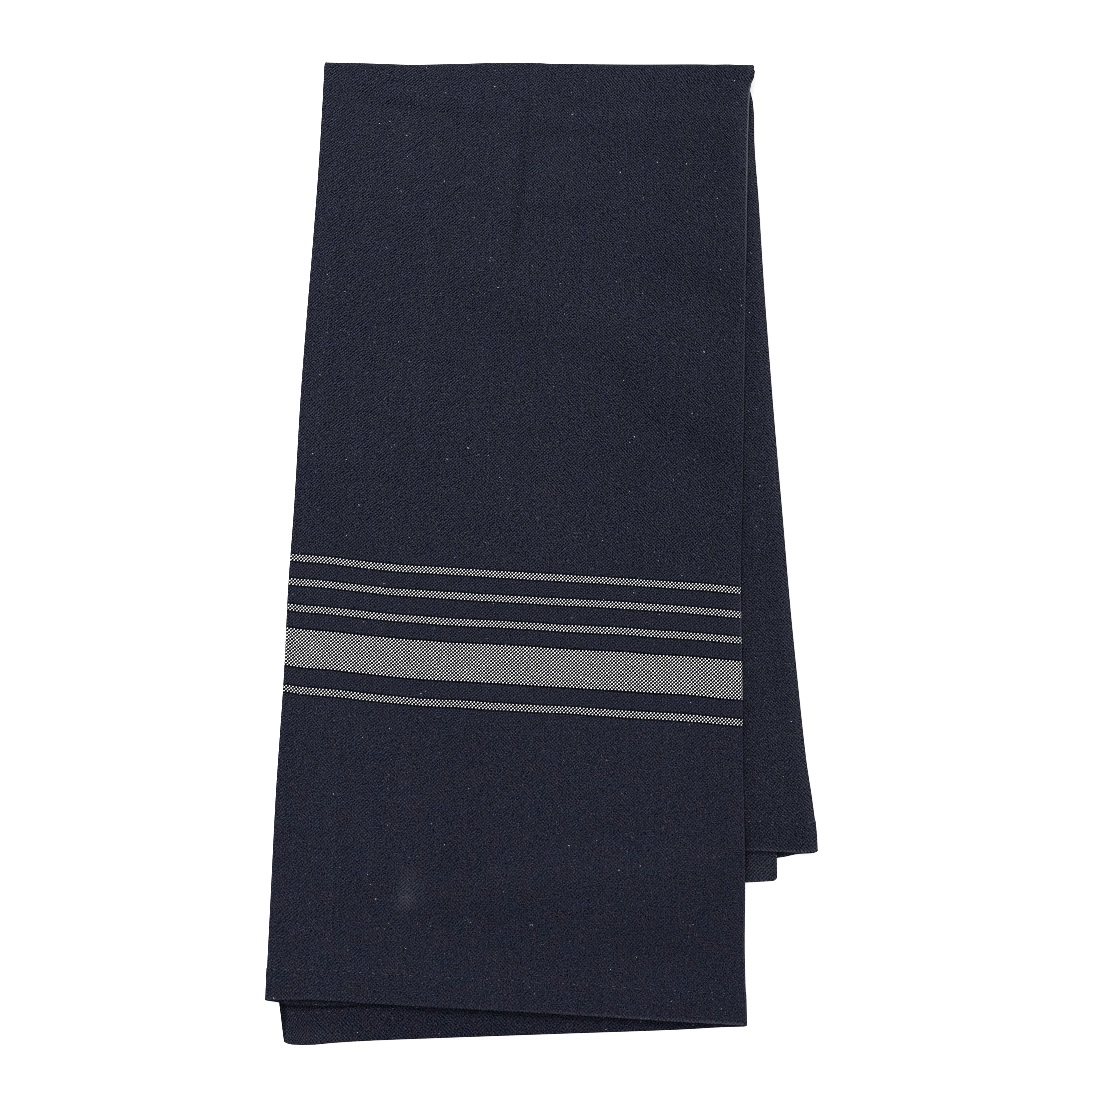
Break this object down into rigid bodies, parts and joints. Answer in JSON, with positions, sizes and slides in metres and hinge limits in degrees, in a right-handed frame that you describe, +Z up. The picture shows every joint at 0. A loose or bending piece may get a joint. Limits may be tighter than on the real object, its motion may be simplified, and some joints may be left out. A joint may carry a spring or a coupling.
{
  "type": "tea towel",
  "caption": "Navy woven cotton tea towel, folded lengthwise and then over, with pale woven stripes across its front.",
  "frame": {"origin": "centre of the folded towel's footprint, on the surface that it lies on", "axes": "+Z up from the surface, +Y towards the crosswise fold, +X to the right as seen from above with that fold at the top"},
  "size_m": [0.2036, 0.3906, 0.0085],
  "materials": {
    "cotton_cloth": "matte plain-woven cotton"
  },
  "bodies": {
    "root": {"tea_towel": "cotton_cloth"}
  },
  "joints": []
}
